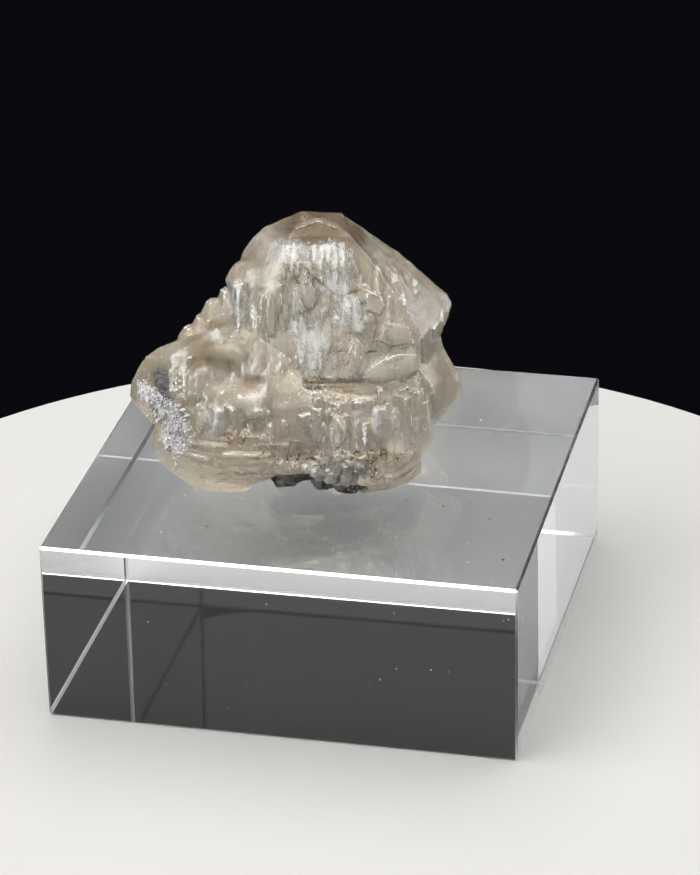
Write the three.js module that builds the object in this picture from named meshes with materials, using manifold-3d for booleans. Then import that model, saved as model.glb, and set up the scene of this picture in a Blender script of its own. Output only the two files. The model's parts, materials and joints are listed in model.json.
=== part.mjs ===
// A group of cerussite crystals, grown together side by side, that stands on a clear acrylic display block.
// Millimetres, +Z up. The origin is the middle of the block's underside, and the block's sides face X and Y.

import * as THREE from "three";
import { ConvexGeometry } from "three/addons/geometries/ConvexGeometry.js";
import { mergeVertices } from "three/addons/utils/BufferGeometryUtils.js";
import Module from "manifold-3d";

const wasm = await Module();
wasm.setup();

// ---- driving dimensions ----
const blockSide = 50;
const blockHeight = 20;
const blockChamfer = 0.25; // the polished edge of the block
const restGap = 0.3; // under the crystal's feet, and round the matrix that it grew on
const matrixGap = restGap * 1.25; // the matrix is faceted, so its hole is cut a little wider
const crystalTurn = 13.3; // degrees that the crystal is turned on the block

const sunk = 0.9; // how deep a terrace or lath reaches into the face that it stands on
const steepest = 3.2; // a terrace isn't put where the face falls away more than this
const steepestLath = 2.5; // nor a lath, where it falls away more than this share of the lath's length
const terraceTaper = 0.12; // how far a terrace's top is drawn in to its middle
const strewnLift = [0.2, 0.5]; // how far the strewn terraces stand out
const crystalSeed = 5; // of the lengths and places of the small crystals
const matrixSeed = 7; // of the matrix's lumps

// The prisms: a foot and a roof that are narrower than the middle, by these shares.
const prismSides = 6;
const prismFoot = { wide: 0.55, deep: 0.55 };
const prismRoof = { wide: 0.5, deep: 0.3 };
const prismBlunt = 0.42; // height of the foot's slope, as a share of the prism's narrower side
const roofBlunt = 0.5; // and of the roof's

// The lumps: corners spread over a ball.
const lumpCorners = 14;
const goldenAngle = Math.PI * (3 - Math.sqrt(5));
const lumpRoughness = [0.86, 1.14];

// The druse: a band of tiny double pyramids down the left lobe, from its upper left corner at X and Z.
const druseCrystals = 44;
const druseWidth = [0.56, 1.12];
const druseStart = [-19.4, 10.6];
const druseSpread = 4.6;
const druseDrift = [1.6, -6.6];
const pyramidHeight = 0.62; // of each half, as a share of its width

// ---- the main crystals ----
// Their corners, as X across the broad front, Y to the back, Z up from the block.

const upperFront = [
  [-2.9, -6.8, 12.4], [2.3, -7.0, 11.8], [8.0, -6.5, 12.2], [9.7, -6.0, 13.4], [9.8, -4.9, 16.8],
  [7.1, -3.0, 20.7], [4.7, -1.9, 23.8], [2.7, -0.9, 26.0], [-3.6, -1.1, 26.1],
  [-2.9, 0.0, 26.9], [-0.6, 0.8, 27.4], [1.4, 0.2, 26.8], [-2.4, 3.0, 27.3], [1.8, 3.0, 27.0],
  [-4.6, 2.6, 26.5], [-6.2, 2.4, 25.9], [-7.7, 2.0, 24.9], [-8.8, 1.8, 23.4],
  [-6.6, -3.9, 20.6], [-7.4, -5.4, 16.6], [-9.5, -4.0, 12.0], [-10.0, 4.0, 12.0],
  [-6.0, -5.0, 8.0], [8.0, -4.0, 8.0], [-6.0, 6.0, 8.0], [8.0, 6.0, 8.0],
  [-6.0, 8.0, 17.0], [4.0, 8.0, 18.0], [-3.0, 5.5, 25.5], [2.0, 5.5, 25.0],
];
const upperRight = [
  [1.8, 3.0, 26.9], [-2.0, 4.5, 26.6], [7.9, 4.2, 21.8], [12.9, 4.0, 16.9], [13.1, 3.8, 16.1],
  [12.5, 3.6, 13.8], [11.6, 3.0, 13.3], [2.7, -0.2, 25.8], [4.9, -0.8, 23.0], [7.3, -2.0, 20.0],
  [10.0, -3.8, 15.6], [10.3, -3.5, 12.0], [10.0, -3.0, 9.0], [11.2, 3.0, 9.0], [0.0, 0.0, 8.0],
  [10.5, 7.5, 15.0], [11.5, 6.5, 13.0], [6.0, 8.5, 20.0], [0.0, 7.5, 24.0], [-2.0, 9.5, 17.0],
  [9.0, 9.0, 10.0], [-4.0, 10.0, 10.0],
];
const leftBody = [
  [-15.2, -3.0, 15.9], [-16.5, -3.0, 15.1], [-17.8, -3.0, 14.6], [-19.0, -3.0, 13.7], [-20.0, -2.0, 11.8],
  [-20.8, -1.0, 9.8], [-21.0, -1.0, 8.3], [-20.7, -1.5, 7.7], [-19.6, -2.0, 6.7], [-18.8, -3.0, 6.0],
  [-16.1, -6.0, 15.2], [-16.2, -8.0, 11.9], [-14.3, -9.0, 7.1], [-11.9, -10.0, 7.0], [-3.9, -9.3, 9.4],
  [-4.1, -10.5, 7.1], [-10.6, -6.0, 16.0], [-11.7, -3.0, 16.9], [-5.0, -7.2, 13.4], [-2.0, -5.0, 8.0],
  [-18.5, 4.0, 9.0], [-14.5, 5.0, 12.0], [-17.0, 4.0, 5.0], [-3.0, 4.0, 8.0], [-6.0, 2.0, 15.0],
];
const lowerRight = [
  [-2.6, -9.0, 12.3], [0.2, -9.8, 11.6], [6.4, -9.5, 11.5], [9.5, -8.0, 11.3], [-3.0, -10.3, 7.0],
  [2.1, -10.4, 6.1], [7.4, -9.7, 5.8], [10.6, -6.0, 6.2], [11.0, -3.0, 4.8], [11.1, -3.0, 3.4],
  [10.5, -3.0, 2.3], [9.8, -4.0, 1.7], [-5.0, -6.0, 12.0], [0.0, -5.0, 12.4], [9.5, -4.0, 12.0],
  [-4.0, 4.0, 3.0], [9.0, 4.0, 3.0], [-4.0, 4.0, 11.0], [9.0, 4.0, 11.0],
];
const lowerCorner = [
  [11.6, 3.0, 13.3], [12.1, 3.0, 12.4], [12.7, 2.5, 10.2], [14.1, 2.0, 8.7], [14.2, 2.0, 7.5],
  [14.0, 1.5, 6.0], [13.1, 1.0, 5.0], [11.9, 0.0, 4.4], [11.0, -1.0, 3.8], [9.8, -5.0, 12.2],
  [10.9, -5.5, 10.6], [10.6, -5.0, 6.0], [6.0, 0.0, 4.0], [6.0, 0.0, 13.0], [9.0, 8.0, 11.0],
  [11.5, 7.5, 8.0], [9.0, 8.0, 4.0],
];
const leftFoot = [
  [-18.7, -4.0, 4.8], [-18.4, -5.0, 3.5], [-17.4, -5.5, 1.9], [-15.8, -6.0, 1.0], [-14.8, -6.5, 0.2],
  [-13.2, -7.5, 0.0], [-11.1, -8.0, 0.0], [-8.9, -7.8, 0.0], [-14.3, -9.0, 6.5],
  [-11.9, -10.0, 6.6], [-4.1, -10.4, 6.8], [-12.0, -9.6, 3.0], [-6.0, -9.9, 3.4], [-5.0, -9.2, 2.8],
  [-18.0, 2.0, 6.0], [-8.0, 2.0, 0.0], [-14.0, 0.0, 0.0], [-4.0, 2.0, 3.0], [-4.0, 2.0, 7.0],
];
const rightFoot = [
  [-2.8, -9.3, 5.8], [2.7, -9.9, 5.4], [-1.6, -9.2, 2.6], [2.6, -9.7, 2.5], [0.5, -9.0, 1.0],
  [3.5, -8.8, 0.0], [6.3, -8.0, 0.0], [8.4, -6.6, 0.0], [9.6, -5.0, 0.4],
  [8.8, -7.6, 4.0], [9.8, -4.5, 4.0], [8.0, 2.0, 0.0], [1.0, 0.0, 0.0], [-2.0, -2.0, 6.0], [9.0, 2.0, 6.0],
];
const archedMiddle = [
  [-6.5, -9.9, 7.0], [-5.4, -9.4, 2.6], [-0.5, -9.3, 2.9], [1.0, -9.8, 7.0],
  [-6.0, 4.0, 1.6], [1.0, 4.0, 1.6], [-6.0, 4.0, 7.0], [1.0, 4.0, 7.0],
];
const backBody = [
  [-13.0, 6.0, 13.0], [-9.0, 5.0, 18.0], [3.0, 9.5, 17.0], [9.0, 9.0, 8.0], [-14.0, 7.0, 4.0],
  [6.0, 10.0, 3.0], [-8.0, 10.0, 3.0], [4.0, 8.0, 0.0], [-6.0, 8.0, 0.0], [-5.0, 11.0, 9.0], [3.0, 11.5, 8.0],
  [-10.0, 2.0, 4.0], [6.0, 2.0, 0.0], [-6.0, 3.0, 0.0], [0.0, 2.0, 18.0],
];
// Where the left body grows into the lower tier, and its top into the upper front crystal.
const centreBridge = [
  [-8.5, -9.5, 10.5], [-7.0, -10.3, 7.2], [-0.5, -10.1, 11.0], [-0.5, -10.6, 7.0], [-6.5, -8.4, 13.2],
  [-2.0, -9.0, 12.4], [-4.5, -7.0, 14.2], [-8.0, -6.0, 8.0], [0.0, -6.0, 8.0], [-3.0, -5.0, 13.5],
];
const shoulderBridge = [
  [-11.0, -6.3, 15.6], [-8.3, -8.2, 13.2], [-4.6, -7.8, 13.8], [-9.3, -4.4, 17.8], [-7.2, -5.7, 17.2],
  [-3.6, -7.0, 14.8], [-10.0, -2.0, 14.0], [-5.0, -3.0, 12.0],
];
const mainCrystals = [
  upperFront, upperRight, leftBody, lowerRight, lowerCorner, leftFoot, rightFoot, archedMiddle, backBody,
  centreBridge, shoulderBridge,
];

// Six-sided crystals with a blunt roof: middle, size, foot, top, and the turn in degrees.
const prisms = [
  { x: -8.7, y: 0.2, width: 3.6, depth: 5.0, bottom: 8, top: 22.8, turn: 0 },
  { x: -10.6, y: 1.6, width: 3.8, depth: 5.4, bottom: 8, top: 19.2, turn: 0 },
  { x: -12.4, y: 1.2, width: 2.8, depth: 4.6, bottom: 8, top: 18.2, turn: 0 },
  { x: -13.7, y: 0.8, width: 2.4, depth: 5.0, bottom: 8, top: 16.6, turn: 0 },
  { x: -15.0, y: 0.4, width: 2.0, depth: 4.4, bottom: 7, top: 15.6, turn: 0 },
  { x: -1.5, y: 6.2, width: 13.0, depth: 7.6, bottom: 7, top: 24.4, turn: 8 },
  { x: 5.0, y: 6.4, width: 10.5, depth: 7.4, bottom: 6, top: 19.4, turn: -20 },
  { x: -8.2, y: 5.6, width: 9.5, depth: 7.4, bottom: 4, top: 17.0, turn: 22 },
  { x: -4.2, y: 8.8, width: 9.6, depth: 6.4, bottom: 0.8, top: 13.6, turn: -5 },
  { x: 3.6, y: 8.8, width: 9.0, depth: 6.2, bottom: 1.6, top: 12.0, turn: 9 },
  { x: -12.0, y: 4.4, width: 9.0, depth: 6.6, bottom: 1.6, top: 11.4, turn: 36 },
  { x: 9.6, y: 5.6, width: 7.6, depth: 6.4, bottom: 2.6, top: 12.0, turn: -38 },
];

// Growth terraces on the front: outlines of X and Z, and how far they stand out of the face behind them.
const terraces = [
  { lift: 0.4, outline: [[-4.3, 25.4], [2.1, 25.4], [2.4, 23.6], [-2.7, 21.3], [-4.7, 24.0]] },
  { lift: 0.7, outline: [[-3.0, 23.9], [2.1, 24.0], [3.8, 20.9], [1.5, 20.1], [-1.6, 22.6]] },
  { lift: 0.5, outline: [[-6.4, 21.5], [-4.4, 22.0], [-4.4, 19.9], [-5.2, 18.1], [-6.3, 18.6]] },
  { lift: 0.5, outline: [[-2.7, 20.3], [-0.8, 20.2], [-0.3, 13.3], [-2.9, 12.9], [-3.6, 16.6]] },
  { lift: 0.8, outline: [[-0.6, 19.3], [0.2, 19.6], [0.6, 17.8], [0.4, 15.6], [-0.2, 14.3], [-0.6, 16.4]] },
  { lift: 0.6, outline: [[0.9, 20.4], [2.7, 20.8], [3.7, 20.0], [3.9, 16.6], [2.4, 16.7]] },
  { lift: 0.6, outline: [[2.4, 16.1], [3.1, 16.6], [4.0, 15.4], [4.1, 12.7], [2.2, 12.5]] },
  { lift: 0.6, outline: [[3.6, 13.1], [6.0, 14.7], [9.4, 14.6], [9.4, 13.4], [8.0, 12.5], [3.2, 12.3]] },
  { lift: 0.45, outline: [[4.1, 20.7], [5.6, 20.8], [6.2, 19.4], [5.6, 18.4], [4.1, 19.0]] },
  { lift: 0.35, outline: [[6.1, 17.9], [8.7, 17.3], [9.3, 15.6], [6.5, 15.4], [5.0, 16.1]] },
  { lift: 0.5, outline: [[-12.7, 16.0], [-9.0, 15.9], [-8.4, 15.2], [-9.6, 14.8], [-12.7, 15.0]] },
  { lift: 0.4, outline: [[-13.0, 12.8], [-6.2, 11.6], [-5.6, 9.4], [-12.6, 9.6]] },
  { lift: 0.5, outline: [[-15.2, 5.4], [-10.3, 6.0], [-5.6, 5.8], [-6.6, 3.6], [-13.4, 3.2]] },
  { lift: 0.35, outline: [[-13.8, 2.7], [-7.2, 2.8], [-8.2, 1.4], [-13.0, 1.2]] },
];

// Etched windows in the front, cut `deep` into the face.
const windows = [
  { deep: 0.6, outline: [[-10.6, 14.6], [-9.9, 14.6], [-9.9, 13.0], [-10.6, 13.0]] },
  { deep: 0.8, outline: [[-9.5, 14.4], [-8.8, 14.4], [-8.8, 12.8], [-9.5, 12.8]] },
  { deep: 0.6, outline: [[-9.4, 9.9], [-8.5, 9.9], [-8.5, 7.6], [-9.4, 7.6]] },
  { deep: 0.8, outline: [[-8.1, 9.7], [-6.5, 9.7], [-6.5, 7.5], [-8.1, 7.5]] },
  { deep: 0.6, outline: [[4.4, 18.0], [5.2, 18.0], [4.8, 15.4], [4.2, 16.0]] },
  { deep: 0.8, outline: [[6.9, 10.4], [7.6, 10.4], [7.6, 7.2], [6.9, 7.2]] },
];

// Rows of narrow upright laths: from the middle of the first, X and Z, to the middle of the last.
// `side` is -1 on the front and 1 on the back.
const lathRows = [
  { side: -1, first: [-2.2, 9.0], last: [4.0, 8.6], count: 7, length: 4.4, width: 1.0, lift: 0.6 },
  { side: -1, first: [4.8, 8.6], last: [9.6, 8.0], count: 7, length: 4.8, width: 0.7, lift: 0.45 },
  { side: -1, first: [10.3, 8.4], last: [13.2, 7.4], count: 6, length: 3.6, width: 0.6, lift: 0.35 },
  { side: -1, first: [-16.2, 12.5], last: [-13.6, 12.4], count: 5, length: 3.4, width: 0.7, lift: 0.5 },
  { side: -1, first: [-13.6, 9.2], last: [-10.9, 9.4], count: 5, length: 3.6, width: 0.7, lift: 0.45 },
  { side: -1, first: [-3.9, 24.6], last: [1.9, 24.4], count: 9, length: 2.4, width: 0.42, lift: 0.3 },
  { side: -1, first: [-3.4, 14.2], last: [-0.6, 14.0], count: 5, length: 2.6, width: 0.5, lift: 0.3 },
  { side: -1, first: [2.5, 14.3], last: [3.9, 14.1], count: 4, length: 2.8, width: 0.35, lift: 0.3 },
  { side: -1, first: [-9.0, 19.4], last: [-7.4, 18.4], count: 4, length: 3.6, width: 0.5, lift: 0.4 },
  { side: -1, first: [5.6, 21.9], last: [12.0, 16.4], count: 9, length: 2.6, width: 0.5, lift: 0.14 },
  { side: 1, first: [-15.0, 7.0], last: [-9.0, 7.6], count: 5, length: 5.0, width: 0.8, lift: 0.4 },
  { side: 1, first: [-7.4, 6.6], last: [-1.2, 6.8], count: 6, length: 6.0, width: 0.8, lift: 0.45 },
  { side: 1, first: [0.6, 6.2], last: [6.8, 6.4], count: 5, length: 5.4, width: 0.8, lift: 0.45 },
  { side: 1, first: [-4.4, 19.6], last: [2.4, 19.4], count: 5, length: 5.0, width: 0.7, lift: 0.4 },
];

// A lath's corners: share of the way along it, across as a share of its width, and out of the face as a
// share of its lift. Its corners on the face and its keel under the face follow.
const lathRidge = [
  [0, 0, 0], [0.14, -0.28, 1], [0.14, 0.28, 1], [0.84, -0.28, 1], [0.84, 0.28, 1], [1, 0, 0],
];
const lathEnds = [0.1, 0.9];
const lathLeeway = { across: 0.7, along: 0.3, length: [0.45, 1.2], width: [0.6, 1.4], lift: [0.3, 1.1] };

// Where small terraces are strewn over a face.
const strewn = [
  { side: -1, x: [-6.5, 6.5], z: [13.5, 24.5], count: 11, wide: [0.9, 2.4], high: [1.6, 4.2] },
  { side: -1, x: [-15.5, -5.0], z: [8.5, 14.5], count: 11, wide: [0.8, 2.2], high: [1.4, 3.6] },
  { side: -1, x: [-14.5, -5.5], z: [1.5, 5.5], count: 6, wide: [1.8, 4.5], high: [0.5, 1.1] },
  { side: -1, x: [6.5, 11.5], z: [14.0, 19.5], count: 6, wide: [0.8, 1.8], high: [1.6, 3.6] },
  { side: -1, x: [3.0, 8.5], z: [1.2, 4.2], count: 4, wide: [1.0, 2.0], high: [0.8, 1.6] },
  { side: 1, x: [-6.5, 5.5], z: [13.5, 22.5], count: 12, wide: [1.2, 3.0], high: [1.8, 4.6] },
  { side: 1, x: [-15.0, 10.0], z: [3.0, 12.5], count: 12, wide: [1.0, 2.8], high: [1.6, 4.0] },
];
const strewnOutline = [[0.2, 1], [1, 0.5], [0.8, -0.9], [-0.9, -1], [-1, 0.7]];
const strewnLeeway = [0.85, 1.15]; // how far each corner of it may move in or out

// Cavities between the crystals, cut out whole.
const ledgeGroove = [
  [-2.6, -9.6, 12.6], [9.0, -9.0, 12.0], [9.6, -6.5, 12.6],
  [-2.8, -7.2, 13.2], [-2.2, -6.9, 11.9], [9.0, -6.2, 11.6],
];
const archOpening = [
  [-5.6, -11.0, -1.0], [0.6, -11.0, -1.0], [-3.9, -11.0, 2.1], [-1.2, -11.0, 2.2],
  [-4.6, 1.0, -1.0], [0.4, 1.0, -1.0], [-3.4, 1.0, 1.2], [-1.0, 1.0, 1.2],
];

// The matrix: lumps of the rock that the crystals grew on, left in the arch between the feet.
const matrixLumps = [
  { x: -7.0, y: -7.4, z: 0.75, width: 3.0, depth: 2.4, height: 1.3 },
  { x: -4.6, y: -7.2, z: 1.3, width: 3.4, depth: 3.2, height: 1.5 },
  { x: -2.6, y: -6.6, z: 1.75, width: 3.8, depth: 3.6, height: 1.4 },
  { x: -0.4, y: -7.4, z: 1.2, width: 3.2, depth: 3.2, height: 1.8 },
  { x: 1.9, y: -8.0, z: 0.8, width: 3.6, depth: 2.6, height: 1.4 },
  { x: -3.0, y: -2.6, z: 1.3, width: 5.0, depth: 6.0, height: 2.0 },
];

// Small knobbly crystals on the right foot and beside the arch.
const knobbles = [
  { x: -0.4, z: 4.4, size: 1.9 }, { x: 0.9, z: 4.9, size: 1.7 }, { x: 0.5, z: 3.4, size: 2.1 },
  { x: 2.0, z: 3.9, size: 1.8 }, { x: -0.9, z: 3.3, size: 1.5 }, { x: 1.8, z: 2.7, size: 1.6 },
  { x: 3.4, z: 4.4, size: 1.3 }, { x: 4.6, z: 4.7, size: 1.5 }, { x: 6.0, z: 4.3, size: 1.3 },
  { x: -3.6, z: 3.9, size: 1.4 }, { x: -2.4, z: 3.6, size: 1.2 }, { x: -4.9, z: 4.4, size: 1.3 },
];

// ---- helpers ----

// Repeatable random numbers from 0 to 1: the generator known as mulberry32.
function randomFrom(seed) {
  let state = seed >>> 0;
  return () => {
    state = (state + 0x6d2b79f5) >>> 0;
    let t = Math.imul(state ^ (state >>> 15), 1 | state);
    t = (t + Math.imul(t ^ (t >>> 7), 61 | t)) ^ t;
    return ((t ^ (t >>> 14)) >>> 0) / 4294967296;
  };
}

const between = ([low, high], random) => low + (high - low) * random();

const point = (corner) => new THREE.Vector3(...corner);

// The convex solid of some corners.
function solidOf(points) {
  const hull = new ConvexGeometry(points);
  hull.deleteAttribute("normal");
  const merged = mergeVertices(hull, 1e-4);
  return new wasm.Manifold(new wasm.Mesh({
    numProp: 3,
    vertProperties: merged.attributes.position.array,
    triVerts: new Uint32Array(merged.index.array),
  }));
}

function geometryOf(solid) {
  const mesh = solid.getMesh();
  const geometry = new THREE.BufferGeometry();
  geometry.setAttribute("position", new THREE.BufferAttribute(mesh.vertProperties, 3));
  geometry.setIndex(new THREE.BufferAttribute(mesh.triVerts, 1));
  return geometry;
}

// The corners of a level ring round the Z axis.
function ring(z, width, depth, sides) {
  return Array.from({ length: sides }, (_, side) => {
    const angle = (side * 2 * Math.PI) / sides;
    return new THREE.Vector3((Math.cos(angle) * width) / 2, (Math.sin(angle) * depth) / 2, z);
  });
}

// An upright six-sided crystal with a blunt foot and a blunt roof.
function prism({ x, y, width, depth, bottom, top, turn }) {
  const narrower = Math.min(width, depth);
  const corners = [
    ...ring(bottom, width * prismFoot.wide, depth * prismFoot.deep, prismSides),
    ...ring(bottom + narrower * prismBlunt, width, depth, prismSides),
    ...ring(top - narrower * roofBlunt, width, depth, prismSides),
    ...ring(top, width * prismRoof.wide, depth * prismRoof.deep, prismSides),
  ];
  const upright = new THREE.Vector3(0, 0, 1);
  const angle = THREE.MathUtils.degToRad(turn);
  const place = new THREE.Vector3(x, y, 0);
  return solidOf(corners.map((corner) => corner.applyAxisAngle(upright, angle).add(place)));
}

// The point of a body's surface at X and Z, seen from the front (side -1) or from the back (side 1).
const caster = new THREE.Raycaster();
const wellOutside = 40;
function onSurface(surface, x, z, side) {
  caster.set(new THREE.Vector3(x, side * wellOutside, z), new THREE.Vector3(0, -side, 0));
  const [hit] = caster.intersectObject(surface);
  return hit ? hit.point : null;
}

// A slab over an outline on the surface: from `below` under the face to `above` over it, narrower on top.
function slab(surface, outline, below, above, side) {
  const corners = outline.map(([x, z]) => onSurface(surface, x, z, side));
  if (corners.includes(null)) return null;
  const depths = corners.map((corner) => corner.y);
  if (Math.max(...depths) - Math.min(...depths) > steepest) return null;
  const middle = new THREE.Vector3();
  corners.forEach((corner) => middle.addScaledVector(corner, 1 / corners.length));
  const normal = new THREE.Vector3();
  corners.forEach((corner, i) => {
    const next = corners[(i + 1) % corners.length];
    normal.add(corner.clone().sub(middle).cross(next.clone().sub(middle)));
  });
  normal.normalize().multiplyScalar(Math.sign(normal.y) * side);
  const drawnIn = corners.map((corner) => corner.clone().lerp(middle, terraceTaper));
  const raised = drawnIn.map((corner) => corner.addScaledVector(normal, above));
  const lowered = corners.map((corner) => corner.clone().addScaledVector(normal, -below));
  return solidOf([...raised, ...lowered]);
}

// A narrow lath on the surface, with tapered ends.
function lath(surface, x, z, length, width, lift, side) {
  const from = onSurface(surface, x, z - length / 2, side);
  const to = onSurface(surface, x, z + length / 2, side);
  if (!from || !to || Math.abs(from.y - to.y) > length * steepestLath) return null;
  const corner = (share, across, out) => {
    return from.clone().lerp(to, share).add(new THREE.Vector3(across, side * out, 0));
  };
  const corners = lathRidge.map(([share, across, out]) => corner(share, across * width, out * lift));
  for (const end of lathEnds) {
    corners.push(corner(end, -width / 2, 0), corner(end, width / 2, 0), corner(end, 0, -sunk));
  }
  return solidOf(corners);
}

function lathRow(surface, { side, first, last, count, length, width, lift }, random) {
  const { across, along } = lathLeeway;
  return Array.from({ length: count }, (_, i) => {
    const share = i / (count - 1);
    const x = THREE.MathUtils.lerp(first[0], last[0], share) + (random() - 0.5) * width * across;
    const z = THREE.MathUtils.lerp(first[1], last[1], share) + (random() - 0.5) * length * along;
    const ownLength = length * between(lathLeeway.length, random);
    const ownWidth = width * between(lathLeeway.width, random);
    const ownLift = lift * between(lathLeeway.lift, random);
    return lath(surface, x, z, ownLength, ownWidth, ownLift, side);
  });
}

function strewnTerraces(surface, { side, x, z, count, wide, high }, random) {
  return Array.from({ length: count }, () => {
    const middle = [between(x, random), between(z, random)];
    const halfWide = between(wide, random) / 2;
    const halfHigh = between(high, random) / 2;
    const outline = strewnOutline.map(([across, up]) => [
      middle[0] + across * halfWide * between(strewnLeeway, random),
      middle[1] + up * halfHigh * between(strewnLeeway, random),
    ]);
    return slab(surface, outline, sunk, between(strewnLift, random), side);
  });
}

// A six-sided double pyramid that points any way.
function doublePyramid(middle, width, turn) {
  const tip = new THREE.Vector3(0, 0, width * pyramidHeight);
  const corners = [tip, tip.clone().negate(), ...ring(0, width, width, prismSides)];
  return solidOf(corners.map((corner) => corner.applyEuler(turn).add(middle)));
}

function anyTurn(random) {
  const angle = () => random() * 2 * Math.PI;
  return new THREE.Euler(angle(), angle(), angle());
}

// A rough lump: corners spread over a squashed ball, moved in and out, and pushed out by `margin`.
function lump({ x, y, z, width, depth, height }, random, margin) {
  const corners = Array.from({ length: lumpCorners }, (_, i) => {
    const level = 1 - (2 * i + 1) / lumpCorners;
    const angle = i * goldenAngle;
    const out = Math.sqrt(1 - level * level);
    const rough = between(lumpRoughness, random);
    const reach = (size) => (size / 2) * rough + margin;
    return new THREE.Vector3(
      x + Math.cos(angle) * out * reach(width),
      y + Math.sin(angle) * out * reach(depth),
      Math.max(z + level * reach(height), -margin),
    );
  });
  return solidOf(corners);
}

const joined = (solids) => wasm.Manifold.union(solids.filter(Boolean));

// The outer shell alone, so that no sealed hollow is left between crystals.
const outerShell = (solid) => solid.decompose().sort((one, other) => other.volume() - one.volume())[0];

// ---- the crystal ----
const hulls = (lists) => joined(lists.map((corners) => solidOf(corners.map(point))));

// A mesh that rays can find from inside and outside.
const bothSides = new THREE.MeshBasicMaterial({ side: THREE.DoubleSide });
const surfaceOf = (solid) => new THREE.Mesh(geometryOf(solid), bothSides);

function steppedMasses(random) {
  const crystals = hulls(mainCrystals).add(joined(prisms.map(prism)));
  const masses = crystals.subtract(hulls([ledgeGroove, archOpening]));
  const faces = surfaceOf(masses);
  const steps = terraces.map(({ outline, lift }) => slab(faces, outline, sunk, lift, -1));
  const strewnSteps = strewn.flatMap((patch) => strewnTerraces(faces, patch, random));
  const etched = windows.map(({ outline, deep }) => slab(faces, outline, deep, sunk, -1));
  return masses.add(joined([...steps, ...strewnSteps])).subtract(joined(etched));
}

function knobbly(surface, random) {
  return knobbles.map(({ x, z, size }) => {
    const { y } = onSurface(surface, x, z, -1);
    return lump({ x, y, z, width: size, depth: size, height: size }, random, 0);
  });
}

function druse(surface, random) {
  return Array.from({ length: druseCrystals }, (_, i) => {
    const share = i / druseCrystals;
    const x = druseStart[0] + druseDrift[0] * share + druseSpread * random();
    const z = druseStart[1] + druseDrift[1] * share + random();
    const middle = onSurface(surface, x, z, -1);
    return middle && doublePyramid(middle, between(druseWidth, random), anyTurn(random));
  });
}

function crystalSolid() {
  const random = randomFrom(crystalSeed);
  const stepped = steppedMasses(random);
  const faces = surfaceOf(stepped);
  const laths = lathRows.flatMap((row) => lathRow(faces, row, random));
  return stepped.add(joined([...laths, ...knobbly(faces, random), ...druse(faces, random)]));
}

function matrixSolid(margin) {
  const random = randomFrom(matrixSeed);
  return joined(matrixLumps.map((one) => lump(one, random, margin)));
}

// ---- the display block ----
function displayBlock() {
  const half = blockSide / 2;
  const inner = half - blockChamfer;
  const levels = [[0, blockChamfer], [blockHeight, blockHeight - blockChamfer]];
  const quarters = [[-1, -1], [-1, 1], [1, -1], [1, 1]];
  const corners = quarters.flatMap(([right, back]) => levels.flatMap(([face, edge]) => [
    new THREE.Vector3(right * inner, back * inner, face),
    new THREE.Vector3(right * half, back * inner, edge),
    new THREE.Vector3(right * inner, back * half, edge),
  ]));
  return new ConvexGeometry(corners);
}

// ---- the part ----
function named(name, geometry, material) {
  const mesh = new THREE.Mesh(geometry, material);
  mesh.name = name;
  return mesh;
}

const acrylic = new THREE.MeshStandardMaterial({
  color: 0xe9eef0, roughness: 0.04, metalness: 0, transparent: true, opacity: 0.35,
});
const cerussite = new THREE.MeshStandardMaterial({ color: 0xbcae94, roughness: 0.15, metalness: 0 });
const rock = new THREE.MeshStandardMaterial({ color: 0x4a4440, roughness: 0.9, metalness: 0 });

const part = new THREE.Group();
part.add(named("display_block", displayBlock(), acrylic));

const specimen = new THREE.Group();
specimen.position.z = blockHeight + restGap;
specimen.rotation.z = THREE.MathUtils.degToRad(crystalTurn);
const matrix = outerShell(matrixSolid(0));
const crystal = outerShell(crystalSolid().subtract(matrixSolid(matrixGap)));
specimen.add(named("cerussite_crystal", geometryOf(crystal), cerussite));
specimen.add(named("matrix_remnant", geometryOf(matrix), rock));
part.add(specimen);

export default part;
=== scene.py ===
import json
import math
import bpy
import numpy as np
from mathutils import Matrix, Vector, noise
from mathutils.bvhtree import BVHTree

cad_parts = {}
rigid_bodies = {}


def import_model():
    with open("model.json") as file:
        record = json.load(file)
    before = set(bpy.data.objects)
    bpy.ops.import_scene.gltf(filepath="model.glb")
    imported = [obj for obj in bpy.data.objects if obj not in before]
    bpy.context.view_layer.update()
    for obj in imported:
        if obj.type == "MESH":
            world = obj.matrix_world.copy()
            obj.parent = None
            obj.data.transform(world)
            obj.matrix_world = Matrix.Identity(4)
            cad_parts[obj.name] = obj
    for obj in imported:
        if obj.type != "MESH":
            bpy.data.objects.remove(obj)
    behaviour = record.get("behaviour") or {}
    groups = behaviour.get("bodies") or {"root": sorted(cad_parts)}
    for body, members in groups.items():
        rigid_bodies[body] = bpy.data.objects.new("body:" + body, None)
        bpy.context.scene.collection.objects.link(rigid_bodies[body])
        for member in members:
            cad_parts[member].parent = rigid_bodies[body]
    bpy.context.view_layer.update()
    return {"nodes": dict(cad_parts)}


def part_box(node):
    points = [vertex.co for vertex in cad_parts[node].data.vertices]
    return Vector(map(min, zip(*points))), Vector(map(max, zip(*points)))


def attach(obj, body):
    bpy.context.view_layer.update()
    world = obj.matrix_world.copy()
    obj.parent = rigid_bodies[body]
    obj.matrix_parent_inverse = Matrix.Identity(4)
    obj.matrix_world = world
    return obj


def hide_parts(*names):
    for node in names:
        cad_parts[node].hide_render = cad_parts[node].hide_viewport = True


mm = 0.001

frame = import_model()
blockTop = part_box("display_block")[1].z
print("frame loaded")

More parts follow.
